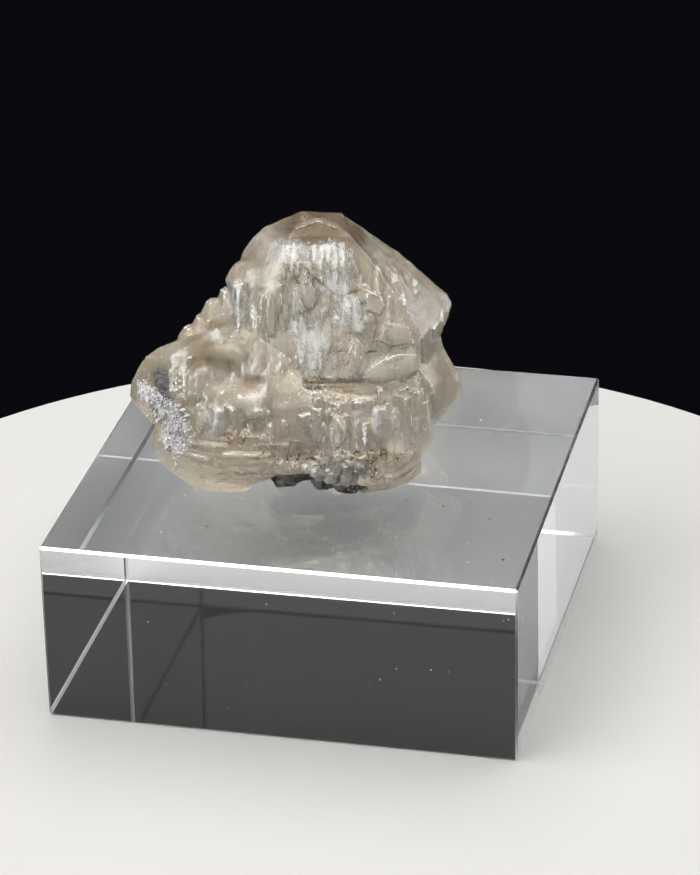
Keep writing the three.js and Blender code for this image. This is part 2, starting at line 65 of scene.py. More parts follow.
# the crystal stands turned on the block, and its own frame starts just above the middle of the block's top;
# places on it are given there in mm: X along its broad front, Y to the back, Z up
crystalTurn = math.radians(13.3)
crystalLift = 0.3 * mm
crystalFrame = Matrix.Translation((0, 0, blockTop + crystalLift)) @ Matrix.Rotation(crystalTurn, 4, "Z")

# camera

cameraSet = {
    "place": (86.86, -358.97, 207.18),  # mm
    "target": (0.97, 5.42, 20.0),
    "roll": -1.27,  # degrees
    "lens": 159.2,
}


def makeCamera(settings):
    data = bpy.data.cameras.new("camera")
    data.lens = settings["lens"]
    data.sensor_width = 36
    data.clip_start = 0.01
    data.clip_end = 10
    camera = bpy.data.objects.new("camera", data)
    bpy.context.collection.objects.link(camera)
    place = Vector(settings["place"]) * mm
    target = Vector(settings["target"]) * mm
    camera.location = place
    look = (target - place).to_track_quat("-Z", "Y").to_matrix()
    camera.rotation_euler = (look @ Matrix.Rotation(math.radians(settings["roll"]), 3, "Z")).to_euler()
    bpy.context.scene.camera = camera


makeCamera(cameraSet)
print("camera ready")


# small helpers

def deselectAll():
    if bpy.context.object and bpy.context.object.mode != "OBJECT":
        bpy.ops.object.mode_set(mode="OBJECT")
    bpy.ops.object.select_all(action="DESELECT")


def pick(piece):
    deselectAll()
    piece.select_set(True)
    bpy.context.view_layer.objects.active = piece


def applyModifiers(piece):
    pick(piece)
    for modifier in list(piece.modifiers):
        bpy.ops.object.modifier_apply(modifier=modifier.name)


def evenSkin(piece, voxel):
    remesh = piece.modifiers.new("evenSkin", "REMESH")
    remesh.mode = "VOXEL"
    remesh.voxel_size = voxel * mm
    applyModifiers(piece)


# a piece of four-cornered faces is brought down to about this many triangles
def thinOut(piece, triangles):
    thin = piece.modifiers.new("thin", "DECIMATE")
    thin.ratio = min(1, triangles / (2 * len(piece.data.polygons)))
    applyModifiers(piece)


# opens the piece in edit mode with only the wanted faces picked
def editFaces(piece, wanted):
    bpy.ops.object.mode_set(mode="EDIT")
    bpy.ops.mesh.select_all(action="DESELECT")
    bpy.ops.object.mode_set(mode="OBJECT")
    for face in piece.data.polygons:
        face.select = wanted(face.normal)
    bpy.ops.object.mode_set(mode="EDIT")


def copyOfNode(node, name):
    source = frame["nodes"][node]
    piece = bpy.data.objects.new(name, source.data.copy())
    bpy.context.collection.objects.link(piece)
    piece.data.materials.clear()
    pick(piece)
    bpy.ops.object.mode_set(mode="EDIT")
    bpy.ops.mesh.select_all(action="SELECT")
    bpy.ops.mesh.remove_doubles(threshold=0.002 * mm)
    bpy.ops.object.mode_set(mode="OBJECT")
    return piece


def inCrystalFrame(piece):
    flat = np.empty(len(piece.data.vertices) * 3)
    piece.data.vertices.foreach_get("co", flat)
    turned = np.array(crystalFrame.inverted())
    return (flat.reshape(-1, 3) @ turned[:3, :3].T + turned[:3, 3]) / mm


def outOfCrystalFrame(places):
    turned = np.array(crystalFrame)
    return places * mm @ turned[:3, :3].T + turned[:3, 3]


# how much each place lies in any of the zones, 0 to 1
# a zone is an ellipsoid in the crystal's frame: its middle X, Y, Z and its half sizes, mm
def zoneWeight(places, zones, soft=0.35):
    weight = np.zeros(len(places))
    for x, y, z, halfX, halfY, halfZ in zones:
        away = np.linalg.norm((places - (x, y, z)) / (halfX, halfY, halfZ), axis=1)
        weight = np.maximum(weight, np.clip((1 + soft - away) / (2 * soft), 0, 1))
    return weight


# spots spread by area over a piece's skin, with the way that the skin faces there
def skinSpots(piece, count, picked, zones=None, ragged=0):
    mesh = piece.data
    mesh.calc_loop_triangles()
    corners = np.empty(len(mesh.loop_triangles) * 3, dtype=np.int32)
    mesh.loop_triangles.foreach_get("vertices", corners)
    corners = inCrystalFrame(piece)[corners.reshape(-1, 3)]
    across = np.cross(corners[:, 1] - corners[:, 0], corners[:, 2] - corners[:, 0])
    area = np.linalg.norm(across, axis=1) + 1e-12
    share = area * (zoneWeight(corners.mean(axis=1), zones) if zones else 1)
    if ragged:
        for face in np.nonzero(share > 1e-9)[0]:
            share[face] *= max(0.02, noise.noise(Vector(corners[face].mean(axis=0)) * ragged))
    faces = picked.choice(len(area), size=count, p=share / share.sum())
    along, aside = picked.random((2, count))
    over = along + aside > 1
    along[over], aside[over] = 1 - along[over], 1 - aside[over]
    first, second, third = corners[faces].transpose(1, 0, 2)
    spots = first + along[:, None] * (second - first) + aside[:, None] * (third - first)
    return spots, across[faces] / area[faces][:, None]


# one mesh of many copies of a template; each copy has a middle, three sides as rows, and a shade of its own
def strew(name, template, middles, sides, picked):
    shape = np.array([vertex.co for vertex in template.data.vertices])
    copies = np.einsum("vk,nkx->nvx", shape, sides) + middles[:, None, :]
    outline = [tuple(face.vertices) for face in template.data.polygons]
    faces = [tuple(step * len(shape) + corner for corner in face)
             for step in range(len(middles)) for face in outline]
    mesh = bpy.data.meshes.new(name)
    mesh.from_pydata(outOfCrystalFrame(copies.reshape(-1, 3)).tolist(), [], faces)
    piece = bpy.data.objects.new(name, mesh)
    bpy.context.collection.objects.link(piece)
    paint(piece, "shade", np.repeat(picked.random(len(middles)), len(shape)))
    bpy.data.objects.remove(template)
    return piece


def paint(piece, name, weight):
    layer = piece.data.attributes.new(name, "FLOAT", "POINT")
    layer.data.foreach_set("value", weight.astype(np.float32))


# one material's nodes, with a short way to add and link them
class Nodes:
    def __init__(self, name):
        self.material = bpy.data.materials.new(name)
        self.material.use_nodes = True
        self.tree = self.material.node_tree
        self.shader = self.tree.nodes["Principled BSDF"]

    def add(self, kind, inputs=None, **settings):
        node = self.tree.nodes.new("ShaderNode" + kind)
        for key, value in settings.items():
            setattr(node, key, value)
        for key, value in (inputs or {}).items():
            self.feed(node, key, value)
        return node

    def feed(self, node, key, value):
        if isinstance(value, bpy.types.NodeSocket):
            self.tree.links.new(value, node.inputs[key])
        else:
            node.inputs[key].default_value = value

    def set(self, **values):
        names = {"baseColor": "Base Color", "roughness": "Roughness", "ior": "IOR", "normal": "Normal",
                 "transmission": "Transmission Weight", "scatter": "Subsurface Weight",
                 "scatterRadius": "Subsurface Radius", "scatterScale": "Subsurface Scale",
                 "specular": "Specular IOR Level", "shine": "Specular Tint",
                 "coat": "Coat Weight", "coatRoughness": "Coat Roughness"}
        for key, value in values.items():
            self.feed(self.shader, names[key], value)

    # places in mm in the crystal's frame, squeezed along each axis by `stretch`
    def place(self, stretch=(1, 1, 1)):
        coords = self.add("TexCoord").outputs["Object"]
        turned = self.add("Mapping", {"Vector": coords, "Rotation": (0, 0, -crystalTurn),
                                      "Scale": (1 / mm, 1 / mm, 1 / mm)}).outputs["Vector"]
        squeeze = tuple(1 / side for side in stretch)
        return self.add("Mapping", {"Vector": turned, "Scale": squeeze}).outputs["Vector"]

    # noise with a grain of `size` mm
    def noise(self, size, stretch=(1, 1, 1), detail=2.0, roughness=0.5):
        return self.add("TexNoise", {"Vector": self.place(stretch), "Scale": 1 / size, "Detail": detail,
                                     "Roughness": roughness}).outputs["Fac"]

    def cells(self, size, stretch=(1, 1, 1), distance="CHEBYCHEV", output="Distance"):
        return self.add("TexVoronoi", {"Vector": self.place(stretch), "Scale": 1 / size},
                        distance=distance).outputs[output]

    def ramp(self, value, low, high, lowest=0.0, highest=1.0):
        return self.add("MapRange", {"Value": value, "From Min": low, "From Max": high,
                                     "To Min": lowest, "To Max": highest}).outputs["Result"]

    def math(self, kind, one, other=0.0):
        node = self.add("Math", operation=kind)
        self.feed(node, 0, one)
        self.feed(node, 1, other)
        return node.outputs[0]

    def attribute(self, name):
        return self.add("Attribute", attribute_name=name).outputs["Fac"]

    def mix(self, share, one, other):
        node = self.add("Mix", data_type="RGBA")
        self.feed(node, 0, share)
        self.feed(node, 6, (*one, 1) if isinstance(one, tuple) else one)
        self.feed(node, 7, (*other, 1) if isinstance(other, tuple) else other)
        return node.outputs[2]

    # a bump of `height` mm, on top of another one
    def bump(self, value, height, below=None):
        node = self.add("Bump", {"Height": value, "Distance": height * mm, "Strength": 1.0})
        if below:
            self.feed(node, "Normal", below)
        return node.outputs["Normal"]


# lights and floor

floorSet = {"radius": 66, "drop": 0.03, "colour": (0.30, 0.297, 0.292), "roughness": 0.6}


def makeFloor(settings):
    deselectAll()
    bpy.ops.mesh.primitive_circle_add(vertices=128, radius=settings["radius"] * mm, fill_type="NGON",
                                      location=(0, 0, -settings["drop"] * mm))
    floor = bpy.context.object
    floor.name = "floor"
    bpy.ops.object.transform_apply(location=True, rotation=True, scale=True)
    nodes = Nodes("paleFloor")
    nodes.set(baseColor=(*settings["colour"], 1), roughness=settings["roughness"])
    floor.data.materials.append(nodes.material)


lights = {
    "rightCard": {"place": (460, 220, 90), "size": (500, 300), "power": 1.0, "colour": (0.95, 0.97, 1.0)},
    "topSoftbox": {"place": (40, 110, 640), "size": (940, 940), "power": 13.0, "colour": (1.0, 0.99, 0.97)},
    "leftKey": {"place": (-430, -330, 470), "size": (700, 700), "power": 7.0, "colour": (1.0, 0.98, 0.95)},
    "frontCard": {"place": (-100, -560, 350), "size": (600, 600), "power": 1.3, "colour": (1.0, 1.0, 1.0)},
}
lightsAim = (0, 0, 30)  # mm
worldColour = (0.003, 0.0031, 0.0046)


def makeLight(name, settings):
    data = bpy.data.lights.new(name, "AREA")
    data.shape = "RECTANGLE"
    data.size, data.size_y = (side * mm for side in settings["size"])
    data.energy = settings["power"]
    data.color = settings["colour"]
    light = bpy.data.objects.new(name, data)
    bpy.context.collection.objects.link(light)
    light.location = Vector(settings["place"]) * mm
    aim = Vector(lightsAim) * mm - light.location
    light.rotation_euler = aim.to_track_quat("-Z", "Y").to_euler()


makeFloor(floorSet)
for name, settings in lights.items():
    makeLight(name, settings)
world = bpy.data.worlds.new("studio")
world.use_nodes = True
world.node_tree.nodes["Background"].inputs["Color"].default_value = (*worldColour, 1)
bpy.context.scene.world = world
bpy.context.scene.view_settings.view_transform = "Standard"
print("stage ready")


# the acrylic block

acrylicSet = {
    "tint": (0.92, 0.94, 0.96),
    "ior": 1.49,
    "polish": 0.01,
    "edgePolish": 0.3,  # the narrow bevels are only scraped
    "scratched": 0.12,
    "dusty": 0.6,
    "dust": (0.09, 0.085, 0.08),
}


def acrylicMaterial(settings):
    nodes = Nodes("clearAcrylic")
    normal = nodes.add("NewGeometry").outputs["Normal"]
    length = nodes.add("VectorMath", {0: normal}, operation="ABSOLUTE").outputs[0]
    x, y, z = nodes.add("SeparateXYZ", {"Vector": length}).outputs
    flattest = nodes.math("MAXIMUM", nodes.math("MAXIMUM", x, y), z)  # 1 on a face, less on a bevel
    edge = nodes.ramp(flattest, 0.95, 0.85)
    smear = nodes.ramp(nodes.noise(7, detail=3), 0.55, 0.8, 0, 0.03)
    polish = nodes.math("ADD", smear, nodes.ramp(edge, 0, 1, settings["polish"], settings["edgePolish"]))
    waves = nodes.noise(1.1, stretch=(30, 8, 1), detail=0)
    hair = nodes.math("ABSOLUTE", nodes.math("SUBTRACT", waves, 0.5))
    scratch = nodes.math("MULTIPLY", nodes.ramp(hair, 0.004, 0.001), nodes.ramp(nodes.noise(9), 0.5, 0.65))
    specks = nodes.ramp(nodes.cells(1.6, distance="EUCLIDEAN"), 0.06, 0.03)
    dust = nodes.math("MULTIPLY", specks, nodes.ramp(nodes.noise(5, detail=3), 0.52, 0.6))
    bits = nodes.ramp(nodes.cells(4.2, distance="EUCLIDEAN"), 0.05, 0.035)
    dark = nodes.math("MULTIPLY", bits, nodes.ramp(nodes.noise(9), 0.45, 0.5))
    marks = nodes.math("MAXIMUM", nodes.math("MULTIPLY", scratch, settings["scratched"]),
                       nodes.math("MULTIPLY", dust, settings["dusty"]))
    nodes.set(baseColor=nodes.mix(dark, settings["tint"], settings["dust"]),
              roughness=nodes.math("ADD", polish, marks), ior=settings["ior"], transmission=1.0)
    return nodes.material


block = frame["nodes"]["display_block"]
block.data.materials.clear()
block.data.materials.append(acrylicMaterial(acrylicSet))
print("block ready")


# the crystal

crystalSet = {
    "voxel": 0.1,  # mm
    "triangles": 192000,
    "crease": 30,  # degrees
    # what is cut into the skin: kind, grain in mm, stretch along X, Y, Z, turn in degrees, depth in mm
    # and the zones that it is cut in
    "carving": (
        ("lobes", 1.5, (1, 1, 3.0), 0, -0.3, "etched"),
        ("lobes", 0.6, (1, 1, 4.5), 5, -0.1, "etched"),
        ("cells", 0.8, (1, 1, 3.4), 0, 0.07, "etched"),
        ("ridges", 0.4, (1, 1, 14), 0, 0.08, "ribbed"),
        ("ridges", 0.9, (1, 1, 30), 6, 0.24, "striped"),
        ("bands", 0.3, (14, 14, 1), 0, 0.15, "banded"),
        ("clouds", 0.8, (1, 1, 1), 0, 0.25, "crumbly"),
    ),
    # zones of the skin, as zoneWeight takes them
    "etched": (
        (-1.5, -4.2, 19.5, 5.5, 4.0, 4.2), (4.5, -9.0, 8.4, 7.0, 4.0, 3.4),
        (-9.8, -8.0, 10.8, 4.2, 3.0, 4.0), (-15.4, -6.6, 12.2, 2.4, 3.0, 2.0),
        (3.4, -5.4, 16.4, 3.4, 2.6, 2.2), (0.0, 9.0, 12.0, 10.0, 4.5, 9.0),
        (-14.0, 4.0, 10.0, 5.0, 5.0, 6.0),
    ),
    "plain": 0.25,  # how much of the etching the rest has
    "bandsEven": 0.8,  # how much of it the banded zones lack
    "smoothEven": 0.7,  # and how much of the ribbing the smooth ones do
    "smooth": (
        (-0.5, 0.0, 27.0, 4.5, 3.0, 1.5), (6.6, -5.8, 13.4, 3.2, 2.5, 1.4),
        (-10.0, -6.5, 15.6, 3.6, 3.0, 1.2), (-6.4, -1.0, 23.4, 1.6, 3.0, 2.4),
        (-5.4, -5.0, 18.6, 1.0, 2.0, 2.4), (-7.0, -9.0, 11.4, 3.6, 2.5, 1.1),
        (-11.5, -8.0, 2.2, 5.0, 3.5, 2.6), (7.0, 1.0, 22.4, 5.0, 3.5, 3.6),
        (11.0, 2.0, 17.5, 3.0, 3.0, 3.5), (-13.5, -3.0, 14.5, 2.4, 2.0, 1.2),
        (5.6, -3.2, 18.6, 1.6, 2.0, 2.4), (11.5, -4.0, 9.0, 2.4, 3.0, 3.0),
    ),
    "banded": ((-11.0, -8.5, 3.4, 7.5, 4.0, 3.4), (-5.5, -9.8, 5.0, 3.5, 2.5, 2.0)),
    "worn": (
        (7.0, 1.0, 22.4, 5.0, 3.5, 3.0), (11.0, 2.0, 19.2, 3.0, 4.0, 2.0),
        (12.6, -2.5, 10.5, 2.2, 4.0, 3.6), (-11.5, -6.0, 15.0, 4.5, 3.0, 1.8),
        (-11.5, -8.0, 2.4, 5.5, 3.5, 3.0), (-8.6, -8.0, 12.2, 4.6, 2.8, 1.5),
    ),
    "striped": (
        (7.5, 1.0, 21.6, 6.0, 4.5, 4.6), (-0.5, -2.6, 24.0, 3.8, 2.0, 1.8),
        (-8.8, -6.0, 14.5, 2.6, 2.8, 1.6),
    ),
    "rounded": ((-12.6, -0.4, 17.0, 3.8, 3.4, 3.0), (-8.6, -1.6, 20.0, 1.4, 2.4, 2.4)),
    "flattened": (
        (-10.4, -5.8, 14.9, 3.4, 2.4, 1.4), (-7.8, -8.2, 12.1, 3.6, 2.4, 1.3),
        (-7.0, -0.8, 23.2, 2.4, 3.2, 2.6),
    ),
    "wear": {"rounded": 10, "worn": 110, "flattened": 450},  # smoothing steps
    # where the skin is drawn along X, and how far in mm
    "drawn": (
        (-0.75, (12.9, 3.3, 13.3, 2.6, 3.8, 0.75)), (-0.35, (13.4, 2.4, 10.3, 2.4, 3.8, 1.8)),
        (0.25, (12.9, 3.7, 15.1, 1.8, 3.2, 1.1)), (0.6, (-13.0, 1.0, 16.6, 4.2, 5.0, 3.4)),
    ),
    "crumbly": (
        (0.5, -9.5, 3.6, 3.0, 2.5, 2.4), (-4.0, -9.4, 4.0, 3.0, 2.0, 1.0),
        (-17.0, -6.0, 7.2, 2.4, 3.0, 3.6), (0.2, -8.5, 12.2, 3.4, 1.8, 0.7),
        (8.0, -7.0, 2.4, 3.2, 3.0, 2.2),
    ),
}

# small upright laths, all grown the same few ways round, that stand a little proud of the skin
lathSet = {
    "count": 420,
    "seed": 11,
    "zones": (
        (4.5, -8.5, 8.2, 7.0, 4.0, 3.2), (-8.6, -9.0, 9.0, 3.2, 3.0, 3.4),
        (-15.0, -6.0, 12.6, 2.4, 3.0, 1.8), (0.0, 9.0, 12.0, 10.0, 4.0, 8.0),
    ),
    "looks": (-90, -32, -148, 90, 148, 32),  # degrees
    "across": (0.4, 1.3),  # mm, as the rest
    "along": (1.4, 4.6),
    "proud": (0.04, 0.19),
    "deep": 1.0,
    "step": 0.32,  # how far a lath may leave a skin that runs away from it
    "steepest": 0.62,  # how far a lath's skin may face up
    "lowest": -0.4,  # and down
    "face": (0.76, 0.88),  # the outer face against the root
}

# etched windows and ribs that have places of their own on the front: X, Z, across, along and proud, mm
windowSet = {
    "seed": 12,
    "deep": 1.2,
    "face": 0.72,
    "places": (
        (-8.8, 14.1, 0.85, 1.9, 0.12), (-10.6, 14.2, 0.8, 1.6, 0.1), (-12.2, 13.9, 0.7, 1.5, 0.12),
        (-6.9, 14.4, 0.75, 1.4, 0.1), (-4.9, 14.0, 0.7, 1.7, 0.15), (-8.0, 8.4, 1.6, 2.8, 0.3),
        (-9.7, 8.6, 0.8, 2.6, 0.25), (-6.0, 8.0, 0.7, 2.4, 0.2), (-4.6, 8.6, 0.9, 2.0, 0.2),
        (-15.7, 13.2, 0.45, 2.8, 0.3), (-14.9, 13.4, 0.5, 3.2, 0.35), (-14.2, 13.2, 0.45, 3.0, 0.3),
        (-13.5, 12.6, 0.5, 3.2, 0.3), (-12.6, 10.4, 0.6, 3.0, 0.3), (-13.4, 8.9, 0.8, 2.6, 0.3),
        (-11.6, 8.6, 0.7, 2.2, 0.2), (0.8, 14.4, 0.6, 2.0, 0.2), (1.9, 15.0, 0.8, 2.8, 0.3),
        (3.1, 14.9, 0.8, 2.8, 0.3), (-5.8, 19.0, 1.2, 4.6, 0.2), (-4.4, 19.2, 1.0, 4.2, 0.15),
        (-3.0, 18.4, 1.3, 3.8, 0.15), (-7.0, 19.6, 0.9, 4.0, 0.15), (-0.9, 16.2, 1.6, 4.4, 0.12),
        (0.6, 16.6, 1.2, 3.6, 0.12), (2.2, 18.6, 1.4, 3.4, 0.15), (3.8, 18.8, 1.2, 3.2, 0.12),
        (-8.6, 20.6, 0.7, 2.6, 0.25), (-2.4, 15.2, 0.8, 2.4, 0.2), (-4.2, 23.4, 0.5, 2.6, 0.15),
        (-3.5, 23.2, 0.4, 2.2, 0.2), (-2.8, 23.6, 0.5, 2.4, 0.15), (-2.0, 23.1, 0.45, 3.0, 0.2),
        (-1.2, 23.5, 0.5, 2.4, 0.15), (-0.4, 23.2, 0.4, 2.8, 0.2), (0.4, 23.6, 0.55, 2.4, 0.15),
        (1.2, 23.3, 0.45, 3.0, 0.2), (2.0, 23.6, 0.5, 2.2, 0.15), (0.3, 8.4, 3.3, 4.2, 0.3),
        (-0.5, 8.2, 0.9, 2.6, 0.55), (0.5, 8.0, 0.8, 2.2, 0.6), (1.3, 8.4, 0.7, 2.8, 0.5),
        (2.7, 8.7, 1.1, 3.9, 0.4), (5.0, 8.8, 2.0, 4.4, 0.4), (4.9, 8.9, 1.0, 3.4, 0.65),
        (6.9, 8.6, 1.5, 3.9, 0.35), (6.8, 8.5, 0.6, 2.8, 0.55), (8.2, 8.6, 0.9, 3.7, 0.3),
        (9.5, 9.0, 0.8, 4.6, 0.25), (3.7, 9.0, 0.6, 3.6, 0.3), (5.6, 21.8, 0.8, 3.0, 0.16),
        (7.6, 20.0, 1.6, 2.8, 0.16), (9.6, 18.4, 1.2, 3.0, 0.16), (6.6, 19.0, 0.6, 3.4, 0.14),
    ),
}

# the lens-shaped face on the right: its middle X, Z and half sizes in mm, and its tilt in degrees;
# it is clean within `wide` mm of its long middle line
lensSet = {
    "seed": 1,
    "place": (6.7, 13.4),
    "half": (3.1, 0.4, 1.5),
    "tilt": -22,
    "line": ((4.9, -6.4, 12.7), (8.5, -6.4, 14.1)),
    "wide": 1.0,
}

# what is painted on: frost and painted highlights, the stains amber, tan and brown, smoky ash, calm skin
# without a gloss, soot and rust
crystalPaint = {
    # frost patches on the upper front and the back; the last six zones, from (4.9, -9.6, 9.2) on, sit on
    # the lower columns and are painted highlights, white streaks down them
    "frostAndHighlight": (
        (-3.4, -2.0, 24.6, 1.5, 1.6, 1.4), (0.6, -2.4, 24.4, 2.4, 1.6, 1.6),
        (-1.5, -5.8, 15.4, 1.6, 2.0, 2.6), (2.7, -4.8, 18.8, 1.4, 1.8, 2.2),
        (-9.3, -1.9, 19.4, 1.3, 2.0, 2.2), (-2.8, -5.0, 17.6, 1.0, 1.6, 1.6),
        (1.2, -3.2, 21.6, 1.4, 1.6, 1.8), (-12.0, -9.4, 9.2, 1.0, 1.4, 1.6),
        (-2.0, 9.0, 15.0, 3.0, 3.5, 3.5), (6.0, 8.6, 9.0, 2.5, 3.0, 2.5), (4.9, -9.6, 9.2, 0.5, 1.8, 1.5),
        (0.0, -9.8, 8.3, 0.45, 1.8, 1.3), (2.6, -9.6, 9.2, 0.4, 1.8, 1.2),
        (6.9, -9.2, 8.8, 0.4, 1.8, 1.1), (1.2, -10.0, 7.0, 0.8, 1.8, 0.4),
    ),
    "amber": (
        (-0.6, 0.5, 27.4, 5.5, 5.0, 2.4), (3.5, 1.0, 25.4, 2.0, 2.5, 1.0),
        (-12.8, -5.0, 15.3, 2.2, 3.2, 1.2),
    ),
    "tan": (
        (-11.0, -5.0, 15.0, 5.0, 3.6, 1.8), (-6.0, -9.2, 11.4, 1.6, 1.6, 0.9),
        (-8.0, -9.8, 8.4, 0.9, 1.0, 1.6), (7.0, 1.0, 22.4, 5.0, 3.5, 3.0),
        (11.0, 2.0, 17.5, 3.0, 4.0, 3.5), (5.4, -5.2, 15.4, 2.2, 2.0, 1.4),
        (-3.0, -8.6, 9.6, 2.8, 2.5, 2.6),
    ),
    "brown": (
        (12.8, -2.0, 9.5, 2.6, 4.5, 4.0), (3.2, -8.2, 12.0, 6.5, 1.6, 0.6),
        (-8.4, -1.0, 23.8, 1.8, 2.6, 1.8),
    ),
    "ash": ((7.0, -7.4, 1.4, 3.8, 3.2, 2.0), (3.4, -8.6, 1.2, 1.8, 2.0, 1.0)),
    "calm": (
        (-9.8, -6.8, 12.4, 4.0, 3.0, 1.2), (-4.4, -7.6, 12.6, 2.2, 2.6, 1.4),
        (-9.4, -1.6, 22.4, 1.6, 2.6, 1.2), (-8.2, -0.4, 24.2, 2.4, 3.0, 1.8),
        (-13.4, 0.0, 17.0, 3.2, 3.4, 3.0), (1.2, -8.4, 11.8, 3.4, 1.8, 0.7),
        (6.2, -8.2, 11.4, 3.4, 1.8, 0.7), (5.4, -5.2, 15.4, 1.8, 1.8, 1.1),
        (-8.8, -4.8, 16.8, 1.8, 2.2, 1.3), (-10.4, -5.4, 15.4, 2.6, 2.4, 1.2),
        (13.0, -2.0, 10.4, 2.0, 4.5, 2.6), (8.0, -7.0, 1.8, 3.0, 3.0, 1.6),
    ),
    "soot": (
        (-17.2, -5.8, 12.3, 1.6, 2.2, 1.5), (-16.6, -6.6, 10.6, 1.3, 1.6, 1.0),
        (4.8, -8.4, 0.4, 2.0, 1.6, 0.7), (-16.9, -6.4, 8.6, 2.2, 2.8, 2.2),
        (-16.6, -6.6, 5.8, 1.4, 1.8, 1.4),
    ),
    "rust": (
        (-1.0, -7.6, 12.3, 1.8, 1.4, 0.5), (1.6, -7.0, 12.0, 1.4, 1.2, 0.4),
        (4.4, -9.4, 4.6, 2.6, 1.4, 0.6), (4.7, -9.0, 2.8, 0.6, 1.2, 1.8),
        (-10.4, -9.9, 7.6, 0.7, 0.8, 0.7), (-6.2, -10.2, 6.3, 1.4, 1.0, 0.4),
        (-8.8, -10.0, 3.4, 1.2, 0.8, 0.3), (-3.2, -9.6, 5.2, 1.6, 1.0, 0.5),
        (9.6, -6.5, 3.0, 0.8, 1.4, 0.5),
    ),
}

# thin raised growth seams: corners X, Y, Z on the front
crystalSeams = (
    ((-3.3, -2.6, 24.0), (-2.5, -2.9, 23.2), (-1.5, -3.4, 21.9)),
    ((-1.1, -3.0, 22.1), (-0.3, -3.5, 20.8)),
    ((2.8, -1.9, 24.0), (3.7, -2.7, 22.2), (3.9, -3.5, 21.1), (5.6, -3.9, 20.4), (6.2, -4.2, 19.2)),
    ((2.3, -6.2, 15.2), (3.0, -5.6, 16.6), (4.2, -6.0, 15.2)),
    ((-2.7, -4.3, 20.4), (-1.5, -4.8, 18.3), (-1.0, -5.4, 16.6)),
    ((-6.1, -4.8, 18.4), (-6.1, -5.5, 16.4)),
    ((-2.9, -0.3, 26.7), (-0.6, 0.5, 27.2), (1.4, -0.2, 26.6)),
    ((1.4, -1.7, 25.4), (2.8, -1.9, 24.0)),
)
# fine dark cracks in the right foot
crystalCracks = (
    ((3.6, -8.0, 0.5), (5.6, -8.0, 0.9), (7.4, -7.6, 1.2), (9.2, -6.8, 2.2), (9.8, -6.2, 3.4)),
    ((5.0, -8.2, 1.7), (7.0, -7.8, 2.3), (8.6, -7.2, 3.1), (9.0, -7.0, 4.4)),
    ((8.2, -7.4, 0.9), (9.6, -6.6, 1.5), (10.2, -6.0, 2.6)),
)
seamSet = {"reach": 0.08, "crackReach": 0.17, "height": 0.08, "frostAndHighlight": 0.35}  # mm, mm, mm, share
# painted highlight: rims bent out past `frostedAndHighlit` take the frosted finish, and the rim tint
# whitens them
rimSet = {"sharp": 0.2, "hollow": -0.12, "frostedAndHighlit": 0.5}  # how bent the skin is there
# how much frost and painted highlight, or stain, a face needs to take that finish, how ragged the limit is,
# and how many waves it has in a mm along X, Y, Z
finishLimits = {"frostedAndHighlit": (0.88, 1.2, (2.6, 0.5, 0.5)), "stained": (0.5, 0.5, (1, 1, 1)), "clean": 0.5}


def seamWeight(places, seams, reach):
    nearest = np.full(len(places), 1e9)
    for seam in seams:
        for start, end in zip(seam, seam[1:]):
            start, end = np.array(start), np.array(end)
            along = np.clip((places - start) @ (end - start) / ((end - start) @ (end - start)), 0, 1)
            gap = places - start - along[:, None] * (end - start)
            gap[:, 1] *= 0.25  # a seam is found wherever it lies in depth
            nearest = np.minimum(nearest, np.linalg.norm(gap, axis=1))
    return np.clip(1.5 - nearest / reach, 0, 1)  # full up to half the reach


# how far the skin stands out at each point over its neighbours: rims above 0, creases below
def bentness(piece):
    mesh = piece.data
    places, normals = (np.empty(len(mesh.vertices) * 3) for i in range(2))
    mesh.vertices.foreach_get("co", places)
    mesh.vertex_normals.foreach_get("vector", normals)
    places, normals = places.reshape(-1, 3), normals.reshape(-1, 3)
    ends = np.empty(len(mesh.edges) * 2, dtype=np.int32)
    mesh.edges.foreach_get("vertices", ends)
    total, count = np.zeros(len(places)), np.zeros(len(places))
    for here, there in (ends.reshape(-1, 2).T, ends.reshape(-1, 2).T[::-1]):
        away = places[here] - places[there]
        rise = (away * normals[here]).sum(axis=1) / (np.linalg.norm(away, axis=1) + 1e-9)
        np.add.at(total, here, rise)
        np.add.at(count, here, 1)
    return total / np.maximum(count, 1)


# a vertex group is filled level by level, which is quicker than point by point
def addZone(piece, name, weight, levels=20):
    group = piece.vertex_groups.new(name=name)
    level = np.round(weight * levels).astype(int)
    for step in range(1, levels + 1):
        group.add([int(i) for i in np.nonzero(level == step)[0]], step / levels, "REPLACE")


def carvingTexture(kind, grain):
    texture = bpy.data.textures.new(kind, "VORONOI" if kind in ("cells", "lobes") else "CLOUDS")
    texture.noise_scale = grain
    if kind == "cells":
        texture.color_mode = "POSITION"
        texture.distance_metric = "CHEBYCHEV"
    if kind == "ridges":
        texture.noise_depth = 1
    return texture


def carve(piece, kind, grain, stretch, turn, depth, where):
    guide = bpy.data.objects.new("guide", None)
    bpy.context.collection.objects.link(guide)
    scale = Matrix.Diagonal((*[side * mm for side in stretch], 1))
    guide.matrix_world = crystalFrame @ Matrix.Rotation(math.radians(turn), 4, "Z") @ scale
    bpy.context.view_layer.update()
    displace = piece.modifiers.new(kind, "DISPLACE")
    displace.texture = carvingTexture(kind, grain)
    displace.texture_coords = "OBJECT"
    displace.texture_coords_object = guide
    displace.strength = depth * mm
    displace.mid_level = 0.5
    displace.vertex_group = where
    applyModifiers(piece)
    bpy.data.objects.remove(guide)


# draws the skin in one zone along X
def drawSkin(piece, far, zone):
    addZone(piece, "drawn", zoneWeight(inCrystalFrame(piece), (zone,)))
    draw = piece.modifiers.new("draw", "DISPLACE")
    draw.direction = "X"
    draw.strength = far * mm
    draw.mid_level = 0
    draw.vertex_group = "drawn"
    applyModifiers(piece)
    piece.vertex_groups.remove(piece.vertex_groups["drawn"])


def raiseSeams(piece, settings):
    displace = piece.modifiers.new("seams", "DISPLACE")
    displace.strength = settings["height"] * mm
    displace.mid_level = 0
    displace.vertex_group = "seams"
    applyModifiers(piece)


